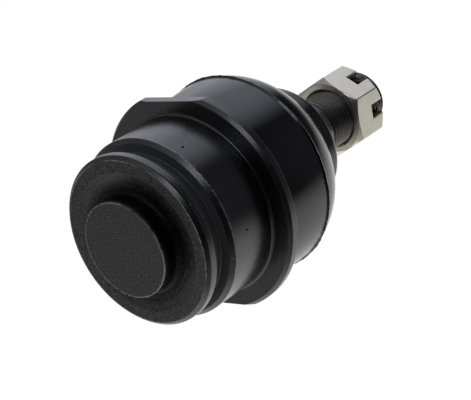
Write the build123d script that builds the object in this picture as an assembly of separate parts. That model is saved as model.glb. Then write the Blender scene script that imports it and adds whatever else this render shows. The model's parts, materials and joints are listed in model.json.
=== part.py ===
from build123d import *
from math import cos, radians, sqrt, tan
import os

# Press-in suspension ball joint, lengths in millimetres.
# The joint stands on the boss of its closed end, with the stud pointing up along +Z.
# The two flats of the flange face +X and -X.

# Driving sizes of the forged housing, from the boss upwards
boss_height = 4.5
boss_root_round = 1.6
trough_depth = 0.7
trough_floor = 1.2
trough_slope = 3.2
end_face_width = 3.3
end_rim_step = 1.4
end_rim_width = 3.0
end_rim_chamfer = 0.9
ring_groove_depth = 3.7
ring_groove_width = 4.6
ring_groove_round = 0.5
ring_groove_edge_break = 0.3
barrel_wall = 7.8
barrel_length = 16.1
barrel_lead_in = 1.1
flange_step = 5.7
flange_thickness = 3.0
flange_chamfer = 0.9
flange_flat_depth = 1.9
flange_root_round = 0.8
flange_back_round = 0.6
spigot_wall = 3.6
end_wall = 3.6
closing_ledge = 1.6
lip_thickness = 1.3
lip_overlap = 1.5

# Driving sizes of the ball stud
ball_radius = 14.0
ball_bottom_flat = 4.0
neck_radius = 7.6
neck_length = 16.6
neck_root_round = 2.0
taper_large_radius = 10.1
taper_length = 32.0
taper_ratio = 8.0
taper_shoulder = 3.0
thread_radius = 8.0
thread_length = 26.2
thread_chamfer = 0.5
cotter_radius = 1.9
cotter_from_end = 6.8

# Driving sizes of the ball seats, their spring, its plate and the closing ring
seat_wall = 2.75
seat_floor = 2.2
seat_grip_share = 0.5
seat_part_gap = 0.6
grease_hole_radius = 4.6
grease_groove_radius = 0.8
grease_grooves = 4
spring_thickness = 0.9
spring_height = 1.6
spring_inner_radius = 7.5
spring_rim_clearance = 1.0
pressure_plate_thickness = 1.2
pressure_plate_hole_radius = 5.0
closing_ring_thickness = 2.8
swing_limit_deg = 22.0
neck_clearance = 0.7

# Driving sizes of the dust boot and its two rings
boot_height = 38.0
boot_wall = 1.8
boot_foot_cover = 2.4
boot_flare = 2.3
boot_edge_height = 17.2
boot_edge_lip = 0.45
boot_crown_bulge = 2.47
boot_collar_radius = 17.3
boot_collar_height = 6.6
boot_collar_round = 2.4
boot_collar_wall = 2.3
boot_lip_height = 5.6
base_ring_wall = 1.2
base_ring_height = 5.4
base_ring_foot = 1.0
neck_ring_thickness = 1.2
neck_ring_width = 4.2

# Driving sizes of the slotted nut
nut_across_flats = 21.0
nut_height = 13.2
nut_seat_radius = 10.2
nut_seat_angle = 30.0
nut_crown_radius = 9.6
nut_crown_angle = 48.0
nut_slot_width = 4.0
nut_slot_depth = 6.1
nut_countersink = 0.65
nut_slots = 6
nut_end_gap = 3.5
nut_turn_deg = 4.0

# Fits between pieces
running_fit = 0.05
rubber_gap = 0.3
cut_overrun = 5.0

# Heights of the housing, counted from the face of the boss
end_face_z = boss_height
ring_groove_z = end_face_z + end_rim_width
barrel_z = ring_groove_z + ring_groove_width
flange_front_z = barrel_z + barrel_length
flange_back_z = flange_front_z + flange_thickness
cavity_floor_z = end_face_z + end_wall

# Heights of what the housing holds, stacked on the floor of its cavity
seat_grip = seat_grip_share * ball_radius
pressure_plate_z = cavity_floor_z + spring_height
lower_seat_z = pressure_plate_z + pressure_plate_thickness
ball_z = lower_seat_z + seat_floor + running_fit + ball_radius
closing_ring_z = ball_z + seat_grip
closing_ring_top_z = closing_ring_z + closing_ring_thickness
housing_top_z = closing_ring_top_z + lip_thickness

# Radii from the ball out to the boot, and of the housing in and out from its barrel
cup_radius = ball_radius + running_fit
bore_radius = cup_radius + seat_wall
closing_ring_radius = bore_radius + closing_ledge
spigot_radius = closing_ring_radius + spigot_wall
base_ring_radius = spigot_radius + base_ring_wall
boot_base_radius = base_ring_radius + boot_foot_cover
boot_edge_radius = boot_base_radius + boot_flare
boot_foot_radius = boot_base_radius - boot_wall / 2
collar_inner_radius = boot_collar_radius - boot_collar_wall
barrel_radius = bore_radius + barrel_wall
end_rim_radius = barrel_radius - end_rim_step
trough_end_radius = end_rim_radius - end_rim_chamfer - end_face_width
boss_radius = trough_end_radius - trough_slope - trough_floor - boss_root_round
ring_groove_radius = barrel_radius - ring_groove_depth
flange_radius = barrel_radius + flange_step
flange_half_width = flange_radius - flange_flat_depth

# Heights along the stud and the boot
neck_top_z = ball_z + neck_length
taper_z = neck_top_z + taper_shoulder
thread_z = taper_z + taper_length
taper_small_radius = taper_large_radius - taper_length / taper_ratio / 2
stud_top_z = thread_z + thread_length
boot_top_z = flange_back_z + boot_height
collar_z = boot_top_z - boot_collar_height
collar_ceiling_z = boot_top_z - boot_lip_height
nut_top_z = stud_top_z - nut_end_gap
nut_z = nut_top_z - nut_height


def taper_radius_at(height):
    """Radius of the stud's taper at a height inside it."""
    return taper_large_radius - (height - taper_z) / taper_ratio / 2


def neck_opening(height):
    """Radius that the swung neck needs in a plane this far above the middle of the ball."""
    swing = radians(swing_limit_deg)
    return height * tan(swing) + neck_radius / cos(swing) + neck_clearance


def turned(outline, rounds=()):
    """Turn a closed outline of (radius, height) points about the axis, with some corners rounded."""
    face = make_face(Polyline(*outline, close=True))
    for corner, radius in rounds:
        face = fillet(face.vertices().sort_by_distance(corner)[0], radius)
    return revolve(Plane.XZ * face, Axis.Z)


def save(solid, name):
    """Write one piece to its own file."""
    export_step(solid, f"parts/{name}.step")


def make_housing():
    """Forged and turned cup: boss, snap ring groove, press barrel, two-flat flange and boot spigot."""
    trough_z = end_face_z + trough_depth
    lip_radius = closing_ring_radius - lip_overlap
    outline = [
        (0, 0),
        (boss_radius, 0),
        (boss_radius, trough_z),
        (trough_end_radius - trough_slope, trough_z),
        (trough_end_radius, end_face_z),
        (end_rim_radius - end_rim_chamfer, end_face_z),
        (end_rim_radius, end_face_z + end_rim_chamfer),
        (end_rim_radius, ring_groove_z - ring_groove_edge_break),
        (end_rim_radius - ring_groove_edge_break, ring_groove_z),
        (ring_groove_radius, ring_groove_z),
        (ring_groove_radius, barrel_z),
        (barrel_radius - barrel_lead_in, barrel_z),
        (barrel_radius, barrel_z + barrel_lead_in),
        (barrel_radius, flange_front_z),
        (flange_radius - flange_chamfer, flange_front_z),
        (flange_radius, flange_front_z + flange_chamfer),
        (flange_radius, flange_back_z),
        (spigot_radius, flange_back_z),
        (spigot_radius, housing_top_z),
        (lip_radius, housing_top_z),
        (lip_radius, closing_ring_top_z),
        (closing_ring_radius, closing_ring_top_z),
        (closing_ring_radius, closing_ring_z),
        (bore_radius, closing_ring_z),
        (bore_radius, cavity_floor_z),
        (0, cavity_floor_z),
    ]
    rounds = [
        ((boss_radius, trough_z), boss_root_round),
        ((trough_end_radius, end_face_z), trough_slope),
        ((ring_groove_radius, ring_groove_z), ring_groove_round),
        ((ring_groove_radius, barrel_z), ring_groove_round),
        ((barrel_radius, flange_front_z), flange_root_round),
        ((flange_radius, flange_back_z), flange_back_round),
        ((spigot_radius, housing_top_z), lip_thickness / 2),
    ]
    body = turned(outline, rounds)
    flat_cut_width = flange_flat_depth + cut_overrun
    flat_cut = Box(flat_cut_width, 2 * flange_radius, flange_thickness)
    flat_cut_x = flange_half_width + flat_cut_width / 2
    flat_cut_z = flange_front_z + flange_thickness / 2
    for side in (-1, 1):
        body -= Pos(side * flat_cut_x, 0, flat_cut_z) * flat_cut
    return body


def make_ball_stud():
    """Forged stud: ball with a flat underneath, neck, shouldered taper and the threaded end."""
    neck_start = sqrt(ball_radius**2 - neck_radius**2)
    flat_start = -sqrt(ball_radius**2 - ball_bottom_flat**2)
    thread_step = taper_small_radius - thread_radius
    with BuildPart() as stud:
        with BuildSketch(Plane.XZ):
            with BuildLine():
                ball_arc = ThreePointArc(
                    (ball_bottom_flat, ball_z + flat_start),
                    (ball_radius, ball_z),
                    (neck_radius, ball_z + neck_start),
                )
                Polyline(
                    ball_arc @ 1,
                    (neck_radius, neck_top_z),
                    (taper_large_radius, taper_z - taper_shoulder / 2),
                    (taper_large_radius, taper_z),
                    (taper_small_radius, thread_z),
                    (thread_radius, thread_z + thread_step),
                    (thread_radius, stud_top_z - thread_chamfer),
                    (thread_radius - thread_chamfer, stud_top_z),
                    (0, stud_top_z),
                    (0, ball_z + flat_start),
                    ball_arc @ 0,
                )
            make_face()
            neck_root = (neck_radius, ball_z + neck_start)
            fillet(vertices().sort_by_distance(neck_root)[0], neck_root_round)
        revolve(axis=Axis.Z)
    cotter = Cylinder(cotter_radius, 2 * thread_radius + cut_overrun, rotation=(90, 0, 0))
    cotter_turn = nut_turn_deg + 180 / nut_slots - 90
    return stud.part - Pos(0, 0, stud_top_z - cotter_from_end) * Rot(0, 0, cotter_turn) * cotter


def make_preload_spring():
    """Conical spring washer that presses the lower seat up against the ball."""
    cone_height = spring_height - spring_thickness
    outer_radius = bore_radius - spring_rim_clearance
    outline = [
        (spring_inner_radius, cavity_floor_z + cone_height),
        (outer_radius, cavity_floor_z),
        (outer_radius, cavity_floor_z + spring_thickness),
        (spring_inner_radius, cavity_floor_z + spring_height),
    ]
    return turned(outline)


def make_pressure_plate():
    """Steel disc that spreads the push of the spring over the plastic seat."""
    plate_radius = bore_radius - spring_rim_clearance
    plate_z = pressure_plate_z + pressure_plate_thickness / 2
    plate = Cylinder(plate_radius, pressure_plate_thickness)
    hole = Cylinder(pressure_plate_hole_radius, pressure_plate_thickness + cut_overrun)
    return Pos(0, 0, plate_z) * (plate - hole)


def make_lower_seat():
    """Plastic cup under the ball with grease grooves up its sides, free to creep round in the bore."""
    top_z = ball_z - seat_part_gap / 2
    bottom_z = lower_seat_z + running_fit
    seat_radius = bore_radius - running_fit
    cup = Pos(0, 0, ball_z) * Sphere(cup_radius)
    body = Pos(0, 0, (bottom_z + top_z) / 2) * Cylinder(seat_radius, top_z - bottom_z)
    grease_hole = Pos(0, 0, lower_seat_z) * Cylinder(grease_hole_radius, 2 * seat_floor + cut_overrun)
    seat = body - cup - grease_hole
    for index in range(grease_grooves // 2):
        groove = Torus(cup_radius, grease_groove_radius, rotation=(90, 0, index * 360 / grease_grooves))
        seat -= Pos(0, 0, ball_z) * groove
    return seat


def make_upper_seat():
    """Plastic ring that closes over the upper half of the ball, pressed into the bore."""
    bottom_z = ball_z + seat_part_gap / 2
    cup = Pos(0, 0, ball_z) * Sphere(cup_radius)
    body = Pos(0, 0, (bottom_z + closing_ring_z) / 2) * Cylinder(bore_radius, closing_ring_z - bottom_z)
    return body - cup


def make_closing_ring():
    """Steel ring under the rolled lip, with a conical mouth for the swinging neck."""
    seat_mouth = sqrt(cup_radius**2 - seat_grip**2)
    lower_mouth = max(neck_opening(seat_grip), seat_mouth)
    upper_mouth = max(neck_opening(seat_grip + closing_ring_thickness), lower_mouth)
    outline = [
        (lower_mouth, closing_ring_z),
        (closing_ring_radius, closing_ring_z),
        (closing_ring_radius, closing_ring_top_z),
        (upper_mouth, closing_ring_top_z),
    ]
    return turned(outline)


def make_boot_base_ring():
    """Pressed steel ring of L section in the foot of the boot, pushed over the spigot."""
    outline = [
        (spigot_radius, flange_back_z),
        (boot_foot_radius, flange_back_z),
        (boot_foot_radius, flange_back_z + base_ring_foot),
        (base_ring_radius, flange_back_z + base_ring_foot),
        (base_ring_radius, flange_back_z + base_ring_height),
        (spigot_radius, flange_back_z + base_ring_height),
    ]
    return turned(outline)


def make_boot_neck_ring():
    """Flat steel ring that stiffens the boot's collar from inside and rides with the stud."""
    top_z = collar_ceiling_z - rubber_gap
    bottom_z = top_z - neck_ring_thickness
    outer = collar_inner_radius - rubber_gap
    inner = outer - neck_ring_width
    return turned([(inner, bottom_z), (outer, bottom_z), (outer, top_z), (inner, top_z)])


def make_dust_boot():
    """Moulded rubber boot: flared skirt, parting edge, domed crown and a stiff collar round the stud."""
    edge_z = flange_back_z + boot_edge_height
    edge_foot_radius = boot_edge_radius - boot_edge_lip
    crown_mid_z = (edge_z + collar_z) / 2
    crown_mid_radius = (edge_foot_radius + boot_collar_radius) / 2 + boot_crown_bulge
    ring_top_z = flange_back_z + base_ring_height
    skirt_mid_z = flange_back_z + boot_edge_height / 2
    skirt_mid_radius = (boot_base_radius + edge_foot_radius) / 2 + boot_edge_lip
    lip_radius = taper_radius_at(collar_ceiling_z) + rubber_gap
    with BuildPart() as boot:
        with BuildSketch(Plane.XZ):
            with BuildLine():
                skirt = ThreePointArc(
                    (boot_base_radius, flange_back_z),
                    (skirt_mid_radius, skirt_mid_z),
                    (edge_foot_radius, edge_z - boot_edge_lip),
                )
                parting = Polyline(
                    skirt @ 1,
                    (boot_edge_radius, edge_z),
                    (edge_foot_radius, edge_z + boot_edge_lip),
                )
                crown = ThreePointArc(
                    parting @ 1,
                    (crown_mid_radius, crown_mid_z),
                    (boot_collar_radius, collar_z),
                )
                collar = Polyline(
                    crown @ 1,
                    (boot_collar_radius, boot_top_z),
                    (lip_radius, boot_top_z),
                    (lip_radius, collar_ceiling_z),
                    (collar_inner_radius, collar_ceiling_z),
                    (collar_inner_radius, collar_z - boot_wall),
                )
                crown_inside = ThreePointArc(
                    collar @ 1,
                    (crown_mid_radius - boot_wall, crown_mid_z - boot_wall / 2),
                    (edge_foot_radius - boot_wall, edge_z),
                )
                Polyline(
                    crown_inside @ 1,
                    (base_ring_radius, ring_top_z),
                    (base_ring_radius, flange_back_z + base_ring_foot),
                    (boot_foot_radius, flange_back_z + base_ring_foot),
                    (boot_foot_radius, flange_back_z),
                    skirt @ 0,
                )
            make_face()
            shoulder = (boot_collar_radius, boot_top_z)
            fillet(vertices().sort_by_distance(shoulder)[0], boot_collar_round)
        revolve(axis=Axis.Z)
    return boot.part


def make_slotted_nut():
    """Hexagon nut with a turned bearing face, a coned crown and slots for a cotter pin."""
    corner_radius = nut_across_flats / 2 / cos(radians(180 / nut_slots))
    prism = extrude(RegularPolygon(corner_radius, nut_slots), nut_height)
    seat_slope = tan(radians(nut_seat_angle))
    crown_slope = tan(radians(nut_crown_angle))
    both_cones = nut_height + nut_seat_radius * seat_slope + nut_crown_radius * crown_slope
    cones_meet = both_cones / (seat_slope + crown_slope)
    turning = turned([
        (0, 0),
        (nut_seat_radius, 0),
        (cones_meet, (cones_meet - nut_seat_radius) * seat_slope),
        (nut_crown_radius, nut_height),
        (0, nut_height),
    ])
    threaded_radius = thread_radius + running_fit
    mouth_radius = threaded_radius + nut_countersink
    bore = turned([
        (0, -cut_overrun),
        (mouth_radius, -cut_overrun),
        (mouth_radius, 0),
        (threaded_radius, nut_countersink),
        (threaded_radius, nut_height + cut_overrun),
        (0, nut_height + cut_overrun),
    ])
    slot_height = nut_slot_depth + cut_overrun
    slot = Box(2 * corner_radius + cut_overrun, nut_slot_width, slot_height)
    slot_z = nut_height - nut_slot_depth + slot_height / 2
    nut = (prism & turning) - bore
    for index in range(nut_slots // 2):
        turn = 180 / nut_slots + index * 360 / nut_slots
        nut -= Pos(0, 0, slot_z) * Rot(0, 0, turn) * slot
    return Pos(0, 0, nut_z) * Rot(0, 0, nut_turn_deg) * nut


os.makedirs("parts", exist_ok=True)
save(make_housing(), "housing")
save(make_preload_spring(), "preload_spring")
save(make_pressure_plate(), "pressure_plate")
save(make_lower_seat(), "lower_ball_seat")
save(make_ball_stud(), "ball_stud")
save(make_upper_seat(), "upper_ball_seat")
save(make_closing_ring(), "closing_ring")
save(make_boot_base_ring(), "boot_base_ring")
save(make_dust_boot(), "dust_boot")
save(make_boot_neck_ring(), "boot_neck_ring")
save(make_slotted_nut(), "slotted_nut")
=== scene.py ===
import json
import math

import bmesh
import bpy
from mathutils import Matrix, Vector, noise


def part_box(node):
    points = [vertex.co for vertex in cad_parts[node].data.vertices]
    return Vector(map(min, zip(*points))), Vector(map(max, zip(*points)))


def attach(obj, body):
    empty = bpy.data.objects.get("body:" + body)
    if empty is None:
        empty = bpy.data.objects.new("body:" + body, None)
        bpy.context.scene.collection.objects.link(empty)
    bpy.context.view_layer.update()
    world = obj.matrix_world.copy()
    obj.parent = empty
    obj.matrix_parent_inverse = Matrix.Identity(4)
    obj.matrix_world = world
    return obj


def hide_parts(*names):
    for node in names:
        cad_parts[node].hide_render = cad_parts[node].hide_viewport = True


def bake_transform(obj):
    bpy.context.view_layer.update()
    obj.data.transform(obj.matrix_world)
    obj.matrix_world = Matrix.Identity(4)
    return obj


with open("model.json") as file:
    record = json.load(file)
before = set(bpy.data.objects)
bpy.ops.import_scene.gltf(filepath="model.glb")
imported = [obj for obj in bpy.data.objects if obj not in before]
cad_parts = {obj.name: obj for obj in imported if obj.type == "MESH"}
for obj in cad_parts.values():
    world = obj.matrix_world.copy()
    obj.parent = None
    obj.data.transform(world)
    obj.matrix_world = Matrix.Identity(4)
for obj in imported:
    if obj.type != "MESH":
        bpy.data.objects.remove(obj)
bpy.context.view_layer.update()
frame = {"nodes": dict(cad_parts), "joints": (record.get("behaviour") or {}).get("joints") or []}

# Housing
# One steel forging, blasted, turned on its outside and in its bore, and coated black: a boss on the closed
# end, the groove for a snap ring, the barrel that is pressed into the arm, and a flange with two flats. The
# spigot behind it carries the boot, and its lip is rolled in over the closing ring to shut the joint.

boss_radius = 0.0130
end_face_height = 0.0045
boss_root_round = 0.0016
trough_depth = 0.0007
trough_floor_radius = 0.0158
trough_end_radius = 0.0190
trough_end_round = 0.0032
end_rim_radius = 0.0232
end_rim_chamfer = 0.0009
end_rim_round = 0.0007
ring_groove_near = 0.0075
ring_groove_far = 0.0121
ring_groove_radius = 0.0209
ring_groove_round = 0.0005
barrel_radius = 0.0246
barrel_lead_in = 0.0011
flange_front = 0.0282
flange_back = 0.0312
flange_radius = 0.0303
flange_chamfer = 0.0009
flange_half_width = 0.0284
flange_root_round = 0.0008
spigot_radius = 0.0220
lip_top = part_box("housing")[1].z
lip_radius = 0.0169
lip_round = 0.00065
closing_ring_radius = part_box("closing_ring")[1].x
closing_ring_low, closing_ring_high = (corner.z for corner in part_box("closing_ring"))
bore_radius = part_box("upper_ball_seat")[1].x
cavity_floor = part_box("preload_spring")[0].z
edge_softness = 0.00020
corner_steps = 6
turned_segments = 256
forged_slot = 1
groove_slot = 2


def rounded(outline, steps):
    """Points of a closed outline of (radius, height, corner radius), with each corner drawn as an arc."""
    points = []
    for index, (radius, height, corner_round) in enumerate(outline):
        here = Vector((radius, height))
        if not corner_round:
            points.append(here)
            continue
        before = (Vector(outline[index - 1][:2]) - here).normalized()
        after = (Vector(outline[(index + 1) % len(outline)][:2]) - here).normalized()
        half_angle = before.angle(after) / 2
        start = here + before * corner_round / math.tan(half_angle)
        end = here + after * corner_round / math.tan(half_angle)
        centre = here + (before + after).normalized() * corner_round / math.sin(half_angle)
        spread = (start - centre).angle_signed(end - centre)
        for step in range(steps + 1):
            turn = Matrix.Rotation(-spread * step / steps, 2)
            points.append(centre + turn @ (start - centre))
    return points


def write_mesh(work, mesh):
    """Write a finished shape into a mesh, with its faces turned outwards."""
    bmesh.ops.recalc_face_normals(work, faces=work.faces)
    work.to_mesh(mesh)
    work.free()
    return mesh


def around_axis(work, radius, turn, height):
    """New corner of a shape at a radius, a turn about the axis in radians, and a height."""
    return work.verts.new((radius * math.cos(turn), radius * math.sin(turn), height))


def turn_mesh(name, outline, segments):
    """Mesh turned from (radius, height) points, with flat ends where the outline meets the axis."""
    work = bmesh.new()
    turns = [2 * math.pi * step / segments for step in range(segments)]
    rings = []
    for radius, height in outline:
        if radius > 0:
            rings.append([around_axis(work, radius, turn, height) for turn in turns])
    meets_axis = any(radius <= 0 for radius, height in outline)
    following_rings = rings[1:] if meets_axis else rings[1:] + rings[:1]
    for ring, following in zip(rings, following_rings):
        for step in range(segments):
            after = (step + 1) % segments
            work.faces.new((ring[step], ring[after], following[after], following[step]))
    if meets_axis:
        work.faces.new(rings[0])
        work.faces.new(rings[-1])
    return write_mesh(work, bpy.data.meshes.new(name))


def piece_from(mesh, name):
    """Object in the scene that shows a mesh."""
    piece = bpy.data.objects.new(name, mesh)
    bpy.context.scene.collection.objects.link(piece)
    return piece


def keep_faces_flat(piece):
    """Let large faces look flat right up to their rounded edges."""
    weighted = piece.modifiers.new("flat_faces", "WEIGHTED_NORMAL")
    weighted.keep_sharp = True


def shade_smooth_between(piece, sharp_degrees):
    """Smooth shading between the edges that are sharper than an angle."""
    piece.data.shade_smooth()
    piece.data.set_sharp_from_angle(angle=math.radians(sharp_degrees))


def mill_flats(mesh, half_width):
    """Mill a flat on each side of the flange, square to X."""
    work = bmesh.new()
    work.from_mesh(mesh)
    for side in (-1, 1):
        everything = work.verts[:] + work.edges[:] + work.faces[:]
        plane = {"plane_co": (side * half_width, 0, 0), "plane_no": (side, 0, 0)}
        bmesh.ops.bisect_plane(work, geom=everything, dist=1e-7, clear_outer=True, **plane)
        open_edges = [edge for edge in work.edges if edge.is_boundary]
        bmesh.ops.holes_fill(work, edges=open_edges, sides=0)
    write_mesh(work, mesh)


def shader_group(name, inputs, outputs):
    """Empty shader node group with named inputs, each with its default, and named value outputs."""
    group = bpy.data.node_groups.new(name, "ShaderNodeTree")
    for label, value in inputs.items():
        kind = "NodeSocketVector" if isinstance(value, tuple) else "NodeSocketFloat"
        group.interface.new_socket(label, in_out="INPUT", socket_type=kind).default_value = value
    for label in outputs:
        group.interface.new_socket(label, in_out="OUTPUT", socket_type="NodeSocketFloat")
    return group


def fill_socket(tree, socket, value):
    """Link another socket into a socket, or write a value on it."""
    if isinstance(value, bpy.types.NodeSocket):
        tree.links.new(value, socket)
    else:
        socket.default_value = value


def add_node(tree, kind, settings, **values):
    """Shader node with its own settings and with named inputs filled."""
    node = tree.nodes.new(kind)
    for name, value in settings.items():
        setattr(node, name, value)
    for label, value in values.items():
        fill_socket(tree, node.inputs[label.replace("_", " ")], value)
    return node


def calculate(tree, operation, *values):
    """Result of a Math node on one or two values."""
    node = tree.nodes.new("ShaderNodeMath")
    node.operation = operation
    for socket, value in zip(node.inputs, values):
        fill_socket(tree, socket, value)
    return node.outputs["Value"]


def spread_value(tree, value, low, high, start=0.0, end=1.0):
    """A value that runs from start to end, spread in a line between low and high."""
    node = add_node(tree, "ShaderNodeMapRange", {}, Value=value, From_Min=start, From_Max=end)
    node.inputs["To Min"].default_value = low
    node.inputs["To Max"].default_value = high
    return node.outputs["Result"]


def mix_colours(tree, factor, first, second):
    """Colour between two others by a factor from 0 to 1."""
    node = add_node(tree, "ShaderNodeMix", {"data_type": "RGBA"})
    tree.links.new(factor, node.inputs["Factor"])
    sockets = [socket for socket in node.inputs if socket.type == "RGBA"]
    for socket, colour in zip(sockets, (first, second)):
        fill_socket(tree, socket, colour if isinstance(colour, bpy.types.NodeSocket) else (*colour, 1))
    return next(socket for socket in node.outputs if socket.type == "RGBA")


def build_surface_grain():
    """Fine grain of a surface, and slow drifts across it."""
    group = shader_group("surface_grain", {"Grain Scale": 3000.0, "Drift Scale": 90.0}, ("Grain", "Drift"))
    given = group.nodes.new("NodeGroupInput").outputs
    result = group.nodes.new("NodeGroupOutput").inputs
    place = group.nodes.new("ShaderNodeTexCoord").outputs["Object"]
    for name, detail in (("Grain", 3.0), ("Drift", 2.5)):
        scale = given[name + " Scale"]
        pattern = add_node(group, "ShaderNodeTexNoise", {}, Vector=place, Scale=scale, Detail=detail)
        group.links.new(pattern.outputs["Fac"], result[name])
    return group


surface_grain = build_surface_grain()


def build_bright_specks():
    """Sparse dust and chipped points, small and bright, spread at random over a surface."""
    inputs = {"Speck Scale": 900.0, "Speck Size": 0.12, "Share": 0.08}
    group = shader_group("bright_specks", inputs, ("Speck",))
    given = group.nodes.new("NodeGroupInput").outputs
    place = group.nodes.new("ShaderNodeTexCoord").outputs["Object"]
    cells = add_node(group, "ShaderNodeTexVoronoi", {}, Vector=place, Scale=given["Speck Scale"])
    near = calculate(group, "LESS_THAN", cells.outputs["Distance"], given["Speck Size"])
    cell_value = add_node(group, "ShaderNodeSeparateColor", {}, Color=cells.outputs["Color"])
    chosen = calculate(group, "LESS_THAN", cell_value.outputs["Red"], given["Share"])
    speck = calculate(group, "MULTIPLY", near, chosen)
    group.links.new(speck, group.nodes.new("NodeGroupOutput").inputs["Speck"])
    return group


bright_specks = build_bright_specks()


def build_turned_place():
    """Where a point lies on a turned piece: its radius and its height."""
    group = shader_group("turned_place", {}, ("Radius", "Height"))
    place = group.nodes.new("ShaderNodeTexCoord").outputs["Object"]
    parts = add_node(group, "ShaderNodeSeparateXYZ", {}, Vector=place).outputs
    flat = add_node(group, "ShaderNodeCombineXYZ", {}, X=parts["X"], Y=parts["Y"])
    radius = add_node(group, "ShaderNodeVectorMath", {"operation": "LENGTH"})
    group.links.new(flat.outputs["Vector"], radius.inputs[0])
    result = group.nodes.new("NodeGroupOutput").inputs
    group.links.new(radius.outputs["Value"], result["Radius"])
    group.links.new(parts["Z"], result["Height"])
    return group


turned_place = build_turned_place()


def use_group(tree, group, **values):
    """A group placed in a material or another group, with its inputs filled."""
    return add_node(tree, "ShaderNodeGroup", {"node_tree": group}, **values).outputs


def build_lathe_marks():
    """Fine rings that a turning tool leaves, which follow the radius and the height of the surface."""
    group = shader_group("lathe_marks", {"Rings Per Metre": 9000.0}, ("Marks",))
    given = group.nodes.new("NodeGroupInput").outputs
    place = use_group(group, turned_place)
    along = calculate(group, "ADD", place["Height"], place["Radius"])
    settings = {"noise_dimensions": "1D"}
    rings = add_node(group, "ShaderNodeTexNoise", settings, W=along, Scale=given["Rings Per Metre"])
    group.links.new(rings.outputs["Fac"], group.nodes.new("NodeGroupOutput").inputs["Marks"])
    return group


lathe_marks = build_lathe_marks()


def build_worn_edge():
    """Wear along a turned edge: 1 on the edge, 0 from its width outwards, broken up in chips and patches."""
    inputs = {"Edge Radius": 0.0246, "Edge Height": 0.0132, "Width": 0.0003, "Patch Seed": 0.0}
    chips = {"scale": 1100.0, "start": 0.36, "end": 0.50}
    patches = {"scale": 75.0, "start": 0.37, "end": 0.48}
    group = shader_group("worn_edge", inputs, ("Wear",))
    given = group.nodes.new("NodeGroupInput").outputs
    place = use_group(group, turned_place)
    aside = calculate(group, "SUBTRACT", place["Radius"], given["Edge Radius"])
    above = calculate(group, "SUBTRACT", place["Height"], given["Edge Height"])
    squares = [calculate(group, "MULTIPLY", offset, offset) for offset in (aside, above)]
    distance = calculate(group, "SQRT", calculate(group, "ADD", *squares))
    wear = spread_value(group, distance, low=1.0, high=0.0, end=given["Width"])
    point = group.nodes.new("ShaderNodeTexCoord").outputs["Object"]
    for kind in (chips, patches):
        pattern = add_node(group, "ShaderNodeTexNoise", {"noise_dimensions": "4D"}, Vector=point)
        fill_socket(group, pattern.inputs["W"], given["Patch Seed"])
        fill_socket(group, pattern.inputs["Scale"], kind["scale"])
        share = pattern.outputs["Fac"]
        share = spread_value(group, share, low=0.0, high=1.0, start=kind["start"], end=kind["end"])
        wear = calculate(group, "MULTIPLY", wear, share)
    group.links.new(wear, group.nodes.new("NodeGroupOutput").inputs["Wear"])
    return group


worn_edge = build_worn_edge()


def build_surface_pit():
    """One small pit round a place on the surface: 1 in its middle, 0 from its ragged edge outwards."""
    ragged_scale = 1500.0
    pit_floor = 0.6
    pit_edge = 1.4
    group = shader_group("surface_pit", {"Place": (0.0, 0.0, 0.0), "Pit Radius": 0.0006}, ("Pit",))
    given = group.nodes.new("NodeGroupInput").outputs
    place = group.nodes.new("ShaderNodeTexCoord").outputs["Object"]
    away = add_node(group, "ShaderNodeVectorMath", {"operation": "DISTANCE"})
    group.links.new(place, away.inputs[0])
    group.links.new(given["Place"], away.inputs[1])
    ragged = add_node(group, "ShaderNodeTexNoise", {}, Vector=place, Scale=ragged_scale)
    share = calculate(group, "DIVIDE", away.outputs["Value"], given["Pit Radius"])
    share = calculate(group, "ADD", share, ragged.outputs["Fac"])
    pit = spread_value(group, share, low=1.0, high=0.0, start=pit_floor, end=pit_edge)
    group.links.new(pit, group.nodes.new("NodeGroupOutput").inputs["Pit"])
    return group


surface_pit = build_surface_pit()


def new_finish(name):
    """Material with an empty Principled shader, and its node tree."""
    material = bpy.data.materials.new(name)
    material.use_nodes = True
    tree = material.node_tree
    return material, tree, tree.nodes["Principled BSDF"]


def add_relief(tree, shader, height, depth, strength):
    """Small relief on a surface, as deep as its height value from 0 to 1 spans."""
    bump = add_node(tree, "ShaderNodeBump", {}, Height=height, Strength=strength, Distance=depth)
    tree.links.new(bump.outputs["Normal"], shader.inputs["Normal"])


def set_gloss(tree, shader, share, level, index):
    """Gloss of a black coat, full where a share is 1 and less below it.

    The rest counts as metallic, which mirrors hardly anything in so dark a colour.
    """
    tree.links.new(calculate(tree, "SUBTRACT", 1.0, share), shader.inputs["Metallic"])
    shader.inputs["Specular IOR Level"].default_value = level
    shader.inputs["IOR"].default_value = index


def show_wear(tree, colour, edges, worn_colour):
    """Bare metal that shows through a coat along some turned edges, each a (radius, height, width)."""
    for seed, (radius, height, width) in enumerate(edges):
        values = {"Edge_Radius": radius, "Edge_Height": height, "Width": width, "Patch_Seed": seed + 1.0}
        wear = use_group(tree, worn_edge, **values)["Wear"]
        colour = mix_colours(tree, wear, colour, worn_colour)
    return colour


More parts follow.
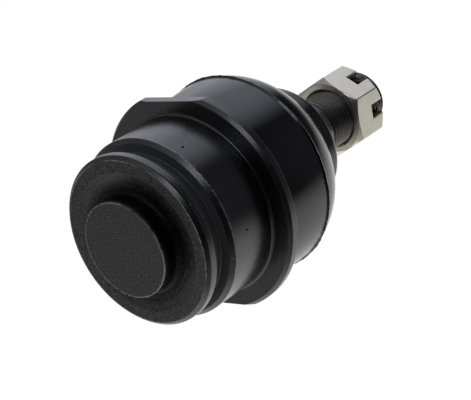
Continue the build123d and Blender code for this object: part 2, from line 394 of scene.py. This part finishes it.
def make_turned_coat():
    """Satin black coat on the turned faces, with faint tool rings and a few pits on the barrel.

    A worn edge is its radius, height and width, and a pit its turn about the axis in degrees and its height.
    """
    coat_colour = (0.0030, 0.0030, 0.0034)
    thick_coat_colour = (0.0058, 0.0057, 0.0068)
    speck_colour = (0.30, 0.29, 0.28)
    worn_colour = (0.27, 0.27, 0.275)
    worn_edges = (
        (end_rim_radius, ring_groove_near, 0.00040),
        (barrel_radius, ring_groove_far + barrel_lead_in, 0.00030),
        (flange_radius, flange_back, 0.00030),
    )
    pits = ((-148.35, 0.01648), (-86.69, 0.01858), (-118.24, 0.01605))
    pit_radius = 0.00050
    relief_depth = 0.000012
    pit_depth = 0.00030
    marks_share = 0.35
    material, tree, shader = new_finish("satin_turned_coat")
    grain = use_group(tree, surface_grain, Grain_Scale=2400.0, Drift_Scale=130.0)
    colour = mix_colours(tree, grain["Drift"], coat_colour, thick_coat_colour)
    specks = use_group(tree, bright_specks, Speck_Scale=750.0, Speck_Size=0.11, Share=0.09)
    colour = mix_colours(tree, specks["Speck"], colour, speck_colour)
    colour = show_wear(tree, colour, worn_edges, worn_colour)
    tree.links.new(colour, shader.inputs["Base Color"])
    rough = spread_value(tree, grain["Drift"], low=0.20, high=0.34)
    tree.links.new(rough, shader.inputs["Roughness"])
    gloss_share = spread_value(tree, grain["Grain"], low=0.72, high=1.0, start=0.30, end=0.70)
    set_gloss(tree, shader, gloss_share, level=0.58, index=1.70)
    marks = use_group(tree, lathe_marks, Rings_Per_Metre=7000.0)["Marks"]
    relief = calculate(tree, "ADD", calculate(tree, "MULTIPLY", marks, marks_share), grain["Grain"])
    for degrees, height in pits:
        turn = math.radians(degrees)
        place = (barrel_radius * math.cos(turn), barrel_radius * math.sin(turn), height)
        pit = use_group(tree, surface_pit, Place=place, Pit_Radius=pit_radius)["Pit"]
        dip = calculate(tree, "MULTIPLY", pit, pit_depth / relief_depth)
        relief = calculate(tree, "SUBTRACT", relief, dip)
    add_relief(tree, shader, relief, relief_depth, strength=0.6)
    return material


def make_forged_coat():
    """Dull black coat on the boss and the end face, which keep the fine grain of the blasted forging.

    It mirrors most where it is thin, and hardly at all in the trough round the boss, where the cut gloss is
    painted shade.
    """
    coat_colour = (0.0035, 0.0035, 0.0038)
    thin_coat_colour = (0.0160, 0.0160, 0.0165)
    speck_colour = (0.16, 0.16, 0.16)
    worn_colour = (0.36, 0.36, 0.355)
    worn_edges = (
        (boss_radius, 0.0, 0.00055),
        (end_rim_radius - end_rim_chamfer, end_face_height, 0.00045),
    )
    relief_depth = 0.000045
    # Gloss left in the trough round the boss: painted shade, which darkens the trough as shade would.
    painted_trough_shade_gloss = 0.10
    material, tree, shader = new_finish("dull_forged_coat")
    grain = use_group(tree, surface_grain, Grain_Scale=2600.0, Drift_Scale=200.0)
    blotches = spread_value(tree, grain["Grain"], low=0.0, high=1.0, start=0.40, end=0.60)
    colour = mix_colours(tree, blotches, coat_colour, thin_coat_colour)
    specks = use_group(tree, bright_specks, Speck_Scale=1300.0, Speck_Size=0.16, Share=0.06)
    colour = mix_colours(tree, specks["Speck"], colour, speck_colour)
    colour = show_wear(tree, colour, worn_edges, worn_colour)
    tree.links.new(colour, shader.inputs["Base Color"])
    tree.links.new(spread_value(tree, blotches, low=0.34, high=0.56), shader.inputs["Roughness"])
    place = use_group(tree, turned_place)
    # Painted shade: the coat's gloss falls low in the trough round the boss, so that it mirrors almost
    # nothing there.
    trough_ends = {"start": boss_radius + boss_root_round, "end": trough_floor_radius + boss_root_round}
    outside_trough_shade = spread_value(tree, place["Radius"], low=painted_trough_shade_gloss, high=1.0, **trough_ends)
    on_boss = spread_value(tree, place["Height"], low=1.0, high=0.0, end=boss_root_round)
    unshaded_share = calculate(tree, "MAXIMUM", outside_trough_shade, on_boss)
    gloss_share = spread_value(tree, blotches, low=0.30, high=1.0)
    gloss_share = calculate(tree, "MULTIPLY", gloss_share, unshaded_share)
    set_gloss(tree, shader, gloss_share, level=0.74, index=1.68)
    add_relief(tree, shader, grain["Grain"], relief_depth, strength=0.7)
    return material


def make_groove_painted_light():
    """Turned finish of the snap ring groove, dull and a lighter grey than the coat: painted light on the
    groove's shaded walls.
    """
    # Painted light: these greys lift the groove walls, which the end rim keeps in shade.
    groove_painted_light_colour = (0.055, 0.055, 0.056)
    thin_groove_painted_light_colour = (0.085, 0.085, 0.086)
    relief_depth = 0.000012
    material, tree, shader = new_finish("groove_painted_light_finish")
    grain = use_group(tree, surface_grain, Grain_Scale=2400.0, Drift_Scale=160.0)
    colour = mix_colours(tree, grain["Drift"], groove_painted_light_colour, thin_groove_painted_light_colour)
    tree.links.new(colour, shader.inputs["Base Color"])
    shader.inputs["Roughness"].default_value = 0.45
    marks = use_group(tree, lathe_marks, Rings_Per_Metre=7000.0)["Marks"]
    add_relief(tree, shader, marks, relief_depth, strength=0.4)
    return material


def make_housing():
    """The forging's whole outline, from the middle of the boss round to the bore and its floor."""
    trough_height = end_face_height + trough_depth
    soft = edge_softness
    outline = [
        (0, 0, 0),
        (boss_radius, 0, soft),
        (boss_radius, trough_height, boss_root_round),
        (trough_floor_radius, trough_height, soft),
        (trough_end_radius, end_face_height, trough_end_round),
        (end_rim_radius - end_rim_chamfer, end_face_height, soft),
        (end_rim_radius, end_face_height + end_rim_chamfer, end_rim_round),
        (end_rim_radius, ring_groove_near, soft),
        (ring_groove_radius, ring_groove_near, ring_groove_round),
        (ring_groove_radius, ring_groove_far, ring_groove_round),
        (barrel_radius - barrel_lead_in, ring_groove_far, soft),
        (barrel_radius, ring_groove_far + barrel_lead_in, soft),
        (barrel_radius, flange_front, flange_root_round),
        (flange_radius - flange_chamfer, flange_front, soft),
        (flange_radius, flange_front + flange_chamfer, soft),
        (flange_radius, flange_back, soft),
        (spigot_radius, flange_back, 0),
        (spigot_radius, lip_top, lip_round),
        (lip_radius, lip_top, soft),
        (lip_radius, closing_ring_high, 0),
        (closing_ring_radius, closing_ring_high, 0),
        (closing_ring_radius, closing_ring_low, 0),
        (bore_radius, closing_ring_low, 0),
        (bore_radius, cavity_floor, 0),
        (0, cavity_floor, 0),
    ]
    mesh = turn_mesh("turned_housing", rounded(outline, corner_steps), turned_segments)
    mill_flats(mesh, flange_half_width)
    for material in (make_turned_coat(), make_forged_coat(), make_groove_painted_light()):
        mesh.materials.append(material)
    for face in mesh.polygons:
        radius, height = face.center.xy.length, face.center.z
        if height < trough_height + soft and radius < end_rim_radius - end_rim_chamfer:
            face.material_index = forged_slot
        if ring_groove_near < height <= ring_groove_far and radius < barrel_radius - barrel_lead_in - soft:
            face.material_index = groove_slot
    return piece_from(mesh, "forged_housing")


housing = make_housing()
shade_smooth_between(housing, sharp_degrees=18)
keep_faces_flat(housing)
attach(housing, "joint_body")
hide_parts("housing")

# Preload spring
# A conical washer pressed from spring steel and blued. It lies loose on the floor of the housing's cavity
# and takes up the wear of the seat.


def dress_inner(node, name, colour, rough, metal=1.0, grain_scale=900.0):
    """Finish of an inner piece, steel unless said otherwise: a colour that drifts a little, and a grain."""
    darkest_share = 0.8
    rough_spread = 0.06
    material, tree, shader = new_finish(name)
    grain = use_group(tree, surface_grain, Grain_Scale=grain_scale, Drift_Scale=150.0)
    darkest = tuple(darkest_share * channel for channel in colour)
    tree.links.new(mix_colours(tree, grain["Drift"], colour, darkest), shader.inputs["Base Color"])
    shader.inputs["Metallic"].default_value = metal
    rough = spread_value(tree, grain["Grain"], low=rough - rough_spread, high=rough + rough_spread)
    tree.links.new(rough, shader.inputs["Roughness"])
    frame["nodes"][node].data.materials.clear()
    frame["nodes"][node].data.materials.append(material)


spring_blue = (0.13, 0.15, 0.21)
dress_inner("preload_spring", "blued_spring_steel", spring_blue, rough=0.34)

# Pressure plate
# A steel disc, pressed and zinc plated. It lies loose on the spring, and spreads the spring's force over
# the foot of the plastic seat.

plate_grey = (0.50, 0.49, 0.46)
dress_inner("pressure_plate", "plated_disc", plate_grey, rough=0.38)

# Lower ball seat
# A cup moulded in cream acetal plastic, with grease grooves up its sides. It stands on the plate, free to
# creep round in the bore, and the spring keeps it against the ball.

acetal_cream = (0.78, 0.75, 0.66)
dress_inner("lower_ball_seat", "acetal_cup", acetal_cream, rough=0.46, metal=0.0, grain_scale=1500.0)

# Ball stud
# A hardened steel forging, ground on its ball and its taper, oiled and nearly black. The thread is rolled
# and fades in beside the taper's small end, and a hole for the cotter pin is drilled across the far end.

ball_centre = next(joint for joint in frame["joints"] if joint["name"] == "swing")["pos_m"][2]
ball_radius = 0.0140
ball_flat_radius = 0.0040
neck_radius = 0.0076
neck_top = 0.04375
taper_start = 0.04675
taper_large_radius = 0.0101
taper_end = 0.07875
taper_small_radius = 0.0081
taper_runout = 0.0004
stud_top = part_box("ball_stud")[1].z
thread_radius = 0.0080
thread_pitch = 0.0015
thread_depth = 0.00085
thread_start = 0.0790
thread_fade_turns = 0.75
thread_root_share = 1 / 4
thread_mouth_share = 0.97
groove_cutter_rise = 1.05
stud_end_chamfer = 0.0005
cotter_radius = 0.0019
cotter_from_end = 0.0068
cotter_direction = math.radians(34)
drill_segments = 40
thread_segments = 96
ball_rings = 48


def make_stud_blank():
    """Stud before its thread is rolled: ball, neck, taper and plain end."""
    neck_start = ball_centre + math.sqrt(ball_radius**2 - neck_radius**2)
    low = -math.acos(ball_flat_radius / ball_radius)
    high = math.acos(neck_radius / ball_radius)
    outline = [(0, ball_centre + ball_radius * math.sin(low), 0)]
    for ring in range(ball_rings):
        rise = low + (high - low) * ring / ball_rings
        outline.append((ball_radius * math.cos(rise), ball_centre + ball_radius * math.sin(rise), 0))
    outline += [
        (neck_radius, neck_start, 0),
        (neck_radius, neck_top, 0),
        (taper_large_radius, (neck_top + taper_start) / 2, edge_softness),
        (taper_large_radius, taper_start, edge_softness),
        (taper_small_radius, taper_end, 0),
        (thread_radius, taper_end + taper_runout, 0),
        (thread_radius, stud_top - stud_end_chamfer, edge_softness),
        (thread_radius - stud_end_chamfer, stud_top, edge_softness),
        (0, stud_top, 0),
    ]
    return turn_mesh("stud_blank", rounded(outline, corner_steps), thread_segments)


def make_thread_groove():
    """The groove between the threads as a solid helix, which sinks into the metal over its first part."""
    half_root = thread_pitch * thread_root_share / 2
    half_mouth = thread_pitch * thread_mouth_share / 2
    turns_in_all = (stud_top - thread_start) / thread_pitch + 1
    work = bmesh.new()
    sections = []
    for step in range(round(turns_in_all * thread_segments) + 1):
        turns = step / thread_segments
        height = thread_start + thread_pitch * turns
        root = thread_radius - thread_depth * min(1, turns / thread_fade_turns)
        mouth = root + thread_depth * groove_cutter_rise
        corners = ((root, -half_root), (root, half_root), (mouth, half_mouth), (mouth, -half_mouth))
        turn = 2 * math.pi * turns
        sections.append([around_axis(work, radius, turn, height + rise) for radius, rise in corners])
    for before, after in zip(sections, sections[1:]):
        for corner in range(4):
            following = (corner + 1) % 4
            work.faces.new((before[corner], before[following], after[following], after[corner]))
    work.faces.new(sections[0])
    work.faces.new(sections[-1][::-1])
    return write_mesh(work, bpy.data.meshes.new("thread_groove"))


def cut_with(piece, cutter_mesh, operation):
    """Combine a piece with a second closed mesh, and drop that mesh."""
    cutter = piece_from(cutter_mesh, "cutter")
    boolean = piece.modifiers.new("cut", "BOOLEAN")
    boolean.operation = operation
    boolean.solver = "EXACT"
    boolean.object = cutter
    evaluated = piece.evaluated_get(bpy.context.evaluated_depsgraph_get())
    finished = bpy.data.meshes.new_from_object(evaluated)
    piece.modifiers.clear()
    piece.data = finished
    bpy.data.objects.remove(cutter)


def make_drill():
    """Round bar across the axis at the cotter pin's height."""
    reach = 2 * thread_radius
    outline = [(0, -reach), (cotter_radius, -reach), (cotter_radius, reach), (0, reach)]
    mesh = turn_mesh("drill", outline, drill_segments)
    lay_down = Matrix.Rotation(math.pi / 2, 4, "Y")
    turn = Matrix.Rotation(cotter_direction, 4, "Z")
    lift = Matrix.Translation((0, 0, stud_top - cotter_from_end))
    mesh.transform(lift @ turn @ lay_down)
    return mesh


def make_stud_steel():
    """Oiled dark steel, a little browner and brighter where it has been handled."""
    oiled_colour = (0.125, 0.117, 0.110)
    handled_colour = (0.250, 0.235, 0.220)
    relief_depth = 0.000010
    material, tree, shader = new_finish("oiled_stud_steel")
    grain = use_group(tree, surface_grain, Grain_Scale=1800.0, Drift_Scale=260.0)
    colour = mix_colours(tree, grain["Drift"], oiled_colour, handled_colour)
    tree.links.new(colour, shader.inputs["Base Color"])
    shader.inputs["Metallic"].default_value = 0.95
    tree.links.new(spread_value(tree, grain["Grain"], low=0.24, high=0.38), shader.inputs["Roughness"])
    add_relief(tree, shader, grain["Grain"], relief_depth, strength=0.4)
    return material


stud = piece_from(make_stud_blank(), "threaded_ball_stud")
cut_with(stud, make_thread_groove(), "DIFFERENCE")
cut_with(stud, make_drill(), "DIFFERENCE")
stud.data.materials.clear()
stud.data.materials.append(make_stud_steel())
shade_smooth_between(stud, sharp_degrees=32)
keep_faces_flat(stud)
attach(stud, "stud")
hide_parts("ball_stud")

# Upper ball seat
# A ring moulded in the same acetal as the cup. It is pressed into the bore over the upper half of the
# ball, which it keeps in, and doesn't turn.

dress_inner("upper_ball_seat", "acetal_ring", acetal_cream, rough=0.46, metal=0.0, grain_scale=1500.0)

# Closing ring
# A turned steel ring that lies on a ledge of the bore over the upper seat, and is held down by the
# housing's rolled lip.

closing_ring_grey = (0.42, 0.41, 0.39)
dress_inner("closing_ring", "turned_ring_steel", closing_ring_grey, rough=0.34)

# Boot base ring
# A steel ring of L section, pressed from sheet and moulded in the foot of the boot, which it holds by a
# tight fit on the spigot.

pressed_grey = (0.46, 0.45, 0.43)
dress_inner("boot_base_ring", "pressed_ring_steel", pressed_grey, rough=0.38)

# Dust boot
# Black rubber from a mould in two halves, which leave a thin uneven flash on its widest edge. Its foot is
# moulded round a steel ring and pushed over the spigot, and its stiff collar hugs the stud.

boot_base_radius = 0.0256
boot_wall = 0.0018
boot_edge_height = 0.0484
boot_edge_radius = 0.0279
boot_edge_lip = 0.00045
boot_crown_middle = Vector((0.02484, 0.0555))
boot_collar_radius = 0.0173
boot_collar_height = 0.0066
boot_collar_round = 0.0024
boot_collar_wall = 0.0023
boot_lip_height = 0.0056
boot_lip_radius = 0.00935
boot_lip_round = 0.0003
boot_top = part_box("dust_boot")[1].z
base_ring_foot = 0.0010
base_ring_outer = 0.0232
base_ring_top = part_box("boot_base_ring")[1].z
base_ring_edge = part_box("boot_base_ring")[1].x
flash_unevenness = 0.00015
flash_coarse_scale = 500
flash_fine_scale = 1700
skirt_steps = 28
crown_steps = 36
crown_inside_steps = 24
collar_steps = 10
boot_segments = 360
same_place = 1e-6


def arc_through(start, middle, end, steps):
    """Points on the circle through three points, from the first up to but not at the last."""
    first = Vector(start)
    near, far = Vector(middle) - first, Vector(end) - first
    twice_area = 2 * (near.x * far.y - near.y * far.x)
    across = far.y * near.length_squared - near.y * far.length_squared
    along = near.x * far.length_squared - far.x * near.length_squared
    centre = first + Vector((across, along)) / twice_area
    arm = first - centre
    spread = arm.angle_signed(Vector(end) - centre)
    return [centre + Matrix.Rotation(-spread * step / steps, 2) @ arm for step in range(steps)]


def make_boot():
    """Boot turned from its outline, outside up to the collar and inside down again, with an uneven flash."""
    crown_start = boot_edge_radius - boot_edge_lip
    skirt_foot = (boot_base_radius, flange_back)
    skirt_bulge = (boot_base_radius + crown_start) / 2 + boot_edge_lip
    skirt_middle = (skirt_bulge, (flange_back + boot_edge_height) / 2)
    collar_low = boot_top - boot_collar_height
    lip_low = boot_top - boot_lip_height
    collar_inner = boot_collar_radius - boot_collar_wall
    edge_low = (crown_start, boot_edge_height - boot_edge_lip)
    edge_high = (crown_start, boot_edge_height + boot_edge_lip)
    edge_inside = (crown_start - boot_wall, boot_edge_height)
    crown_inside = boot_crown_middle - Vector((boot_wall, boot_wall / 2))
    outside = arc_through(skirt_foot, skirt_middle, edge_low, skirt_steps)
    outside += [Vector(edge_low), Vector((boot_edge_radius, boot_edge_height))]
    outside += arc_through(edge_high, boot_crown_middle, (boot_collar_radius, collar_low), crown_steps)
    collar = [
        (boot_collar_radius, collar_low, 0),
        (boot_collar_radius, boot_top, boot_collar_round),
        (boot_lip_radius, boot_top, boot_lip_round),
        (boot_lip_radius, lip_low, boot_lip_round),
        (collar_inner, lip_low, 0),
    ]
    crown_end = (collar_inner, collar_low - boot_wall)
    inside = arc_through(crown_end, crown_inside, edge_inside, crown_inside_steps)
    foot = [
        Vector(edge_inside),
        Vector((base_ring_outer, base_ring_top)),
        Vector((base_ring_outer, flange_back + base_ring_foot)),
        Vector((base_ring_edge, flange_back + base_ring_foot)),
        Vector((base_ring_edge, flange_back)),
    ]
    outline = outside + rounded(collar, collar_steps) + inside + foot
    mesh = turn_mesh("moulded_boot", outline, boot_segments)
    for vertex in mesh.vertices:
        if vertex.co.xy.length > boot_edge_radius - same_place:
            coarse = noise.noise(Vector((vertex.co.x, vertex.co.y, 0)) * flash_coarse_scale)
            fine = noise.noise(Vector((vertex.co.x, vertex.co.y, 1)) * flash_fine_scale)
            share = 1 + (coarse + fine) * flash_unevenness / boot_edge_radius
            vertex.co.x *= share
            vertex.co.y *= share
    return piece_from(mesh, "moulded_dust_boot")


def make_boot_rubber():
    """Smooth black rubber with the faint bloom and the fine dust that new mouldings carry."""
    rubber_colour = (0.0016, 0.0015, 0.0022)
    bloom_colour = (0.0042, 0.0040, 0.0050)
    speck_colour = (0.22, 0.22, 0.23)
    relief_depth = 0.000016
    material, tree, shader = new_finish("moulded_rubber")
    grain = use_group(tree, surface_grain, Grain_Scale=1100.0, Drift_Scale=140.0)
    colour = mix_colours(tree, grain["Drift"], rubber_colour, bloom_colour)
    specks = use_group(tree, bright_specks, Speck_Scale=420.0, Speck_Size=0.06, Share=0.05)
    colour = mix_colours(tree, specks["Speck"], colour, speck_colour)
    tree.links.new(colour, shader.inputs["Base Color"])
    tree.links.new(spread_value(tree, grain["Drift"], low=0.13, high=0.21), shader.inputs["Roughness"])
    shader.inputs["IOR"].default_value = 1.58
    add_relief(tree, shader, grain["Grain"], relief_depth, strength=0.35)
    return material


boot = make_boot()
boot.data.materials.append(make_boot_rubber())
shade_smooth_between(boot, sharp_degrees=40)
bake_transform(boot)
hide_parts("dust_boot")

# Boot neck ring
# A flat steel ring, pressed from sheet and moulded in the boot's collar, which it keeps round as the stud
# swings.

dress_inner("boot_neck_ring", "pressed_neck_ring_steel", pressed_grey, rough=0.38)

# Slotted nut
# Hexagon steel bar, turned to a cone at both ends, tapped, slotted six times for the cotter pin and pale
# zinc plated. It is screwed on the stud's thread.

nut_low, nut_high = (corner.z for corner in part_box("slotted_nut"))
nut_half_width = 0.0105
nut_seat_radius = 0.0102
nut_seat_slope = math.tan(math.radians(30))
nut_crown_radius = 0.0096
nut_crown_slope = math.tan(math.radians(48))
nut_bore_radius = 0.00805
nut_countersink = 0.00065
nut_slot_width = 0.0040
nut_slot_depth = 0.0061
nut_turn = math.radians(4)
nut_sides = 6
nut_edge_round = 0.00025
cutter_overrun = 0.003
nut_segments = 120


def make_prism(name, corners, low, high):
    """Upright prism on a list of (x, y) corners."""
    work = bmesh.new()
    bottom, top = ([work.verts.new((x, y, height)) for x, y in corners] for height in (low, high))
    work.faces.new(bottom)
    work.faces.new(top)
    for index, corner in enumerate(bottom):
        after = (index + 1) % len(corners)
        work.faces.new((corner, bottom[after], top[after], top[index]))
    return write_mesh(work, bpy.data.meshes.new(name))


def nut_cones():
    """The round shape that both ends of the nut are turned to: two cones, wide ends together."""
    ends_apart = nut_high - nut_low
    slopes = nut_seat_slope + nut_crown_slope
    widest = (ends_apart + nut_seat_radius * nut_seat_slope + nut_crown_radius * nut_crown_slope) / slopes
    outline = [
        (0, nut_low),
        (nut_seat_radius, nut_low),
        (widest, nut_low + (widest - nut_seat_radius) * nut_seat_slope),
        (nut_crown_radius, nut_high),
        (0, nut_high),
    ]
    cones = turn_mesh("nut_cones", outline, nut_segments)
    cones.transform(Matrix.Rotation(math.pi / nut_segments, 4, "Z"))
    return cones


def nut_bore():
    """The nut's hole, with a countersink on its seat end."""
    outline = [
        (0, nut_low - cutter_overrun),
        (nut_bore_radius + nut_countersink + cutter_overrun, nut_low - cutter_overrun),
        (nut_bore_radius, nut_low + nut_countersink),
        (nut_bore_radius, nut_high + cutter_overrun),
        (0, nut_high + cutter_overrun),
    ]
    return turn_mesh("nut_bore", outline, nut_segments)


def make_nut():
    """Hexagon bar turned to the two cones, bored and slotted."""
    side_turn = 2 * math.pi / nut_sides
    corner_radius = nut_half_width / math.cos(side_turn / 2)
    turns = [side_turn * side for side in range(nut_sides)]
    corners = [(corner_radius * math.cos(turn), corner_radius * math.sin(turn)) for turn in turns]
    bar = make_prism("hexagon_bar", corners, nut_low - cutter_overrun, nut_high + cutter_overrun)
    nut = piece_from(bar, "slotted_zinc_nut")
    cut_with(nut, nut_cones(), "INTERSECT")
    cut_with(nut, nut_bore(), "DIFFERENCE")
    reach = corner_radius + cutter_overrun
    half_slot = nut_slot_width / 2
    slot_corners = ((-reach, -half_slot), (reach, -half_slot), (reach, half_slot), (-reach, half_slot))
    slot_floor = nut_high - nut_slot_depth
    for slot in range(nut_sides // 2):
        turn = Matrix.Rotation((slot + 0.5) * side_turn, 2)
        around = [tuple(turn @ Vector(corner)) for corner in slot_corners]
        cutter = make_prism("slot_cutter", around, slot_floor, nut_high + cutter_overrun)
        cut_with(nut, cutter, "DIFFERENCE")
    nut.data.transform(Matrix.Rotation(nut_turn, 4, "Z"))
    return nut


def round_edges(piece, width, from_degrees):
    """Round the sharp edges of a rigid piece, as plating and tumbling leave them."""
    piece.data.shade_smooth()
    bevel = piece.modifiers.new("rounded_edges", "BEVEL")
    bevel.width = width
    bevel.segments = 3
    bevel.limit_method = "ANGLE"
    bevel.angle_limit = math.radians(from_degrees)
    bevel.use_clamp_overlap = False


def make_zinc_plate():
    """Pale matt zinc plating, cream in the light, with faint stains and a dull grain."""
    bright_colour = (0.80, 0.765, 0.65)
    dull_colour = (0.66, 0.63, 0.53)
    relief_depth = 0.000014
    material, tree, shader = new_finish("pale_zinc_plate")
    grain = use_group(tree, surface_grain, Grain_Scale=1500.0, Drift_Scale=420.0)
    colour = mix_colours(tree, grain["Drift"], bright_colour, dull_colour)
    tree.links.new(colour, shader.inputs["Base Color"])
    shader.inputs["Metallic"].default_value = 0.95
    tree.links.new(spread_value(tree, grain["Grain"], low=0.19, high=0.31), shader.inputs["Roughness"])
    add_relief(tree, shader, grain["Grain"], relief_depth, strength=0.35)
    return material


nut = make_nut()
nut.data.materials.clear()
nut.data.materials.append(make_zinc_plate())
round_edges(nut, nut_edge_round, from_degrees=20)
keep_faces_flat(nut)
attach(nut, "nut")
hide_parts("slotted_nut")

# Studio
# A pale floor that the joint stands on, and the camera at the photograph's place, which looks up at the
# closed end. What the joint mirrors is laid about the photograph's own upright: a white table, bright
# walls, windows and a lamp in a dark room.

floor_size = 3.0
photo_azimuth = math.radians(-26.4)
photo_elevation = math.radians(-43.1)
photo_roll = math.radians(56.5)
photo_tilt = math.radians(39)
photo_distance = 0.3967
photo_aim = Vector((-0.0038, -0.0183, 0.0238))
photo_lens = 122.3


def make_floor():
    """Pale floor at the boss's face, seen from above only, so that it never hides the joint from below."""
    floor_colour = (0.86, 0.86, 0.86, 1)
    half = floor_size / 2
    corners = ((-half, -half, 0), (half, -half, 0), (half, half, 0), (-half, half, 0))
    mesh = bpy.data.meshes.new("floor")
    mesh.from_pydata(corners, [], [(0, 1, 2, 3)])
    material = bpy.data.materials.new("pale_floor")
    material.use_nodes = True
    tree = material.node_tree
    tree.nodes.clear()
    below = tree.nodes.new("ShaderNodeNewGeometry").outputs["Backfacing"]
    seen = tree.nodes.new("ShaderNodeLightPath").outputs["Is Camera Ray"]
    from_above = calculate(tree, "MULTIPLY", seen, calculate(tree, "SUBTRACT", 1.0, below))
    clear = tree.nodes.new("ShaderNodeBsdfTransparent")
    pale = add_node(tree, "ShaderNodeBsdfDiffuse", {}, Color=floor_colour)
    mix = tree.nodes.new("ShaderNodeMixShader")
    tree.links.new(from_above, mix.inputs[0])
    tree.links.new(clear.outputs["BSDF"], mix.inputs[1])
    tree.links.new(pale.outputs["BSDF"], mix.inputs[2])
    output = tree.nodes.new("ShaderNodeOutputMaterial")
    tree.links.new(mix.outputs["Shader"], output.inputs["Surface"])
    mesh.materials.append(material)
    piece_from(mesh, "floor")


make_floor()


def camera_axes():
    """Right, up and back of the camera at the photograph's angle."""
    level = Vector((math.cos(photo_azimuth), math.sin(photo_azimuth), 0))
    outward = Vector((level.y, -level.x, 0))
    back = outward * math.cos(photo_elevation) + Vector((0, 0, math.sin(photo_elevation)))
    lift = back.cross(level)
    right = level * math.cos(photo_roll) + lift * math.sin(photo_roll)
    return right, back.cross(right), back


def make_camera():
    """Camera at the photograph's place."""
    right, up, back = camera_axes()
    data = bpy.data.cameras.new("photo_camera")
    data.lens = photo_lens
    data.clip_start = 0.01
    camera = bpy.data.objects.new("photo_camera", data)
    bpy.context.scene.collection.objects.link(camera)
    turn = Matrix((right, up, back)).transposed().to_4x4()
    camera.matrix_world = Matrix.Translation(photo_aim + back * photo_distance) @ turn
    bpy.context.scene.camera = camera


make_camera()


def make_surround():
    """The light that the joint stands in and mirrors, painted on the world round it.

    A place is its turn from the photograph's front, its rise over the table, how far from its middle the
    light stays full and where it ends, all in degrees. The table lies square to the photograph's own
    upright, which leans back from the camera's by photo_tilt.
    """
    dark_colour = (0.025, 0.025, 0.028)
    side_colour = (0.30, 0.30, 0.31)
    side_place = (-110, 20, 10, 45)
    shade_colour = (0.11, 0.11, 0.12)
    shade_place = (105, 22, 12, 40)
    window_colour = (0.50, 0.51, 0.55)
    window_place = (-72, 50, 10, 32)
    lamp_colour = (2.40, 2.50, 2.90)
    lamp_place = (-30, 52, 3, 15)
    wall_colour = (1.08, 1.11, 1.26)
    wall_place = (-170, 12, 12, 32)
    high_wall_place = (178, 46, 12, 33)
    low_window_colour = (0.52, 0.52, 0.50)
    low_window_place = (-55, -10, 6, 26)
    table_colour = (1.25, 1.25, 1.23)
    table_middle = (0, -90, 26, 52)
    table_horizon = -0.06
    table_full = -0.52
    lit_table_from = 0.6
    dark_table_share = 0.17
    away_share = 0.4
    right, up, back = camera_axes()
    overhead = up * math.cos(photo_tilt) + back * math.sin(photo_tilt)
    away = up * math.sin(photo_tilt) - back * math.cos(photo_tilt)
    world = bpy.data.worlds.new("surround")
    bpy.context.scene.world = world
    world.use_nodes = True
    tree = world.node_tree
    tree.nodes.clear()
    ray = tree.nodes.new("ShaderNodeTexCoord").outputs["Generated"]

    def along(axis):
        """How far a ray points along an axis, from -1 to 1."""
        node = add_node(tree, "ShaderNodeVectorMath", {"operation": "DOT_PRODUCT"})
        fill_socket(tree, node.inputs[0], ray)
        fill_socket(tree, node.inputs[1], axis)
        return node.outputs["Value"]

    def glow(place):
        """Round patch of light at a place, from 0 outside it to 1 in its middle."""
        turn, rise, full, none = (math.radians(degrees) for degrees in place)
        level = right * math.sin(turn) - away * math.cos(turn)
        axis = overhead * math.sin(rise) + level * math.cos(rise)
        return spread_value(tree, along(axis), low=0.0, high=1.0, start=math.cos(none), end=math.cos(full))

    colour = mix_colours(tree, glow(side_place), dark_colour, side_colour)
    colour = mix_colours(tree, glow(shade_place), colour, shade_colour)
    colour = mix_colours(tree, glow(window_place), colour, window_colour)
    colour = mix_colours(tree, glow(lamp_place), colour, lamp_colour)
    walls = calculate(tree, "MAXIMUM", glow(wall_place), glow(high_wall_place))
    colour = mix_colours(tree, walls, colour, wall_colour)
    table = spread_value(tree, along(overhead), low=0.0, high=1.0, start=table_horizon, end=table_full)
    lit_side = calculate(tree, "ADD", along(right), calculate(tree, "MULTIPLY", along(away), away_share))
    lit_side = spread_value(tree, lit_side, low=dark_table_share, high=1.0, end=lit_table_from)
    lit_table = calculate(tree, "MAXIMUM", lit_side, glow(table_middle))
    table = calculate(tree, "MULTIPLY", table, lit_table)
    colour = mix_colours(tree, table, colour, table_colour)
    colour = mix_colours(tree, glow(low_window_place), colour, low_window_colour)
    rays = tree.nodes.new("ShaderNodeLightPath").outputs
    mirrored = calculate(tree, "ADD", rays["Is Glossy Ray"], rays["Is Transmission Ray"])
    white_seen = calculate(tree, "ADD", rays["Is Camera Ray"], calculate(tree, "MULTIPLY", mirrored, table))
    white_seen = calculate(tree, "MINIMUM", white_seen, 1.0)
    colour = mix_colours(tree, white_seen, colour, (1, 1, 1))
    background = add_node(tree, "ShaderNodeBackground", {}, Color=colour)
    output = tree.nodes.new("ShaderNodeOutputWorld")
    tree.links.new(background.outputs["Background"], output.inputs["Surface"])


make_surround()

scene = bpy.context.scene
scene.view_settings.view_transform = "Standard"
